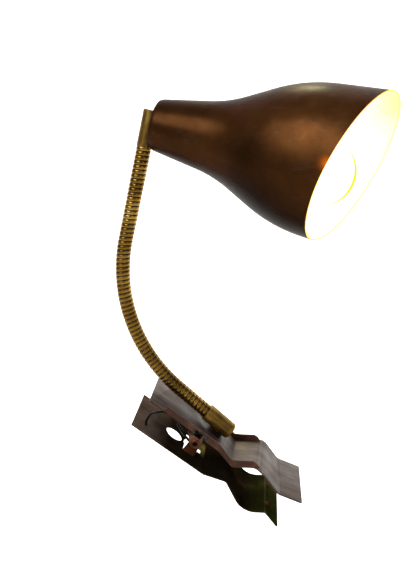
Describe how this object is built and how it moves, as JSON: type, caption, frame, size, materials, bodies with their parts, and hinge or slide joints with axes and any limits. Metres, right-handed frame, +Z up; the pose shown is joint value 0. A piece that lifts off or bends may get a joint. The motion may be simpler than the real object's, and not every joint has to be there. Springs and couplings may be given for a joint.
{
  "type": "clip on reading lamp",
  "caption": "Clip-on reading lamp: sprung sheet-metal clip, ribbed brass gooseneck and a bell shade with an oblique mouth round a small globe bulb.",
  "frame": {"origin": "middle of the gripped space between the two jaws", "axes": "+X towards the jaw tips, +Y along the pivot rivet and the gripped edge, +Z up; the lamp stands in the pose of its picture"},
  "size_m": [0.184, 0.0948, 0.2982],
  "materials": {
    "grey_jaw": "worn grey-taupe lacquer over steel, rust-brown on the flanges",
    "green_black_jaw": "very dark green-black lacquer, browner on the handle",
    "steel": "dull steel",
    "spring_steel": "dark spring wire",
    "brown_saddle": "dark aged brass",
    "aged_brass": "aged, dull brass",
    "hose_brass": "bright ribbed brass with dark grooves",
    "flex_sheath": "twin flex",
    "black_plastic": "black plastic",
    "holder_brown": "brown moulded plastic",
    "ceramic": "glazed insulator",
    "bulb_cap_metal": "rolled bulb cap",
    "opal_glass": "opal white bulb",
    "clear_glass": "clear stem",
    "tungsten": "wire",
    "bronze_lacquer": "brown-bronze lacquer, pale inside",
    "fibre": "fibre washer"
  },
  "bodies": {
    "clip": {"upper_jaw": "grey_jaw", "pivot_rivet": "steel", "ferrule_saddle": "brown_saddle", "lower_ferrule": "aged_brass", "inlet_nipple": "aged_brass", "inlet_nut": "steel", "inlet_bush": "black_plastic", "neck_hose_0": "hose_brass", "neck_flex_0": "flex_sheath"},
    "lower_jaw": {"lower_jaw": "green_black_jaw", "torsion_spring": "spring_steel"},
    "neck_1": {"neck_hose_1": "hose_brass", "neck_flex_1": "flex_sheath"},
    "neck_2": {"neck_hose_2": "hose_brass", "neck_flex_2": "flex_sheath"},
    "neck_3": {"neck_hose_3": "hose_brass", "neck_flex_3": "flex_sheath"},
    "neck_4": {"neck_hose_4": "hose_brass", "neck_flex_4": "flex_sheath"},
    "neck_5": {"neck_hose_5": "hose_brass", "neck_flex_5": "flex_sheath"},
    "neck_6": {"neck_hose_6": "hose_brass", "neck_flex_6": "flex_sheath"},
    "neck_7": {"neck_hose_7": "hose_brass", "neck_flex_7": "flex_sheath"},
    "head": {"neck_hose_8": "hose_brass", "neck_flex_8": "flex_sheath", "top_ferrule": "aged_brass", "swivel_nipple": "aged_brass", "swivel_nut": "aged_brass", "holder_cap": "holder_brown", "holder_body": "holder_brown", "holder_core": "ceramic", "thread_shell": "aged_brass", "centre_contact": "aged_brass", "terminal_screws": "steel", "bulb_cap": "bulb_cap_metal", "bulb_glass": "opal_glass", "bulb_insulator": "black_plastic", "bulb_stem": "clear_glass", "filament": "tungsten"},
    "shade": {"shade": "bronze_lacquer", "swivel_washer": "fibre"}
  },
  "joints": [
    {"name": "jaw_pivot", "type": "hinge", "parent": "clip", "child": "lower_jaw", "pos_m": [-0.0392, 0, 0.0284], "axis": [0, 1, 0], "range_deg": [-11.5, 15], "stiffness_Nm_per_rad": 1.2, "springref_deg": -34.38, "deforming": ["torsion_spring"]},
    {"name": "neck_sway_1", "type": "hinge", "parent": "clip", "child": "neck_1", "pos_m": [-0.04473, 0, 0.05751], "axis": [0.66, 0, 0.7513], "range_deg": [-15, 15]},
    {"name": "neck_bend_1", "type": "hinge", "parent": "neck_1", "child": "neck_2", "pos_m": [-0.06238, 0, 0.07414], "axis": [0, 1, 0], "range_deg": [-15, 15]},
    {"name": "neck_sway_2", "type": "hinge", "parent": "neck_2", "child": "neck_3", "pos_m": [-0.07632, 0, 0.09394], "axis": [0.8767, 0, 0.481], "range_deg": [-15, 15]},
    {"name": "neck_bend_2", "type": "hinge", "parent": "neck_3", "child": "neck_4", "pos_m": [-0.08553, 0, 0.11633], "axis": [0, 1, 0], "range_deg": [-15, 15]},
    {"name": "neck_sway_3", "type": "hinge", "parent": "neck_4", "child": "neck_5", "pos_m": [-0.08954, 0, 0.14021], "axis": [0.9985, 0, 0.0549], "range_deg": [-15, 15]},
    {"name": "neck_bend_3", "type": "hinge", "parent": "neck_5", "child": "neck_6", "pos_m": [-0.08817, 0, 0.16439], "axis": [0, 1, 0], "range_deg": [-15, 15]},
    {"name": "neck_sway_4", "type": "hinge", "parent": "neck_6", "child": "neck_7", "pos_m": [-0.08292, 0, 0.18808], "axis": [0.9748, 0, -0.2233], "range_deg": [-15, 15]},
    {"name": "neck_bend_4", "type": "hinge", "parent": "neck_7", "child": "head", "pos_m": [-0.07751, 0, 0.21173], "axis": [0, 1, 0], "range_deg": [-15, 15]},
    {"name": "shade_turn", "type": "hinge", "parent": "head", "child": "shade", "pos_m": [-0.06962, 0, 0.24616], "axis": [0.9627, -0.1855, -0.1971], "continuous": true}
  ]
}
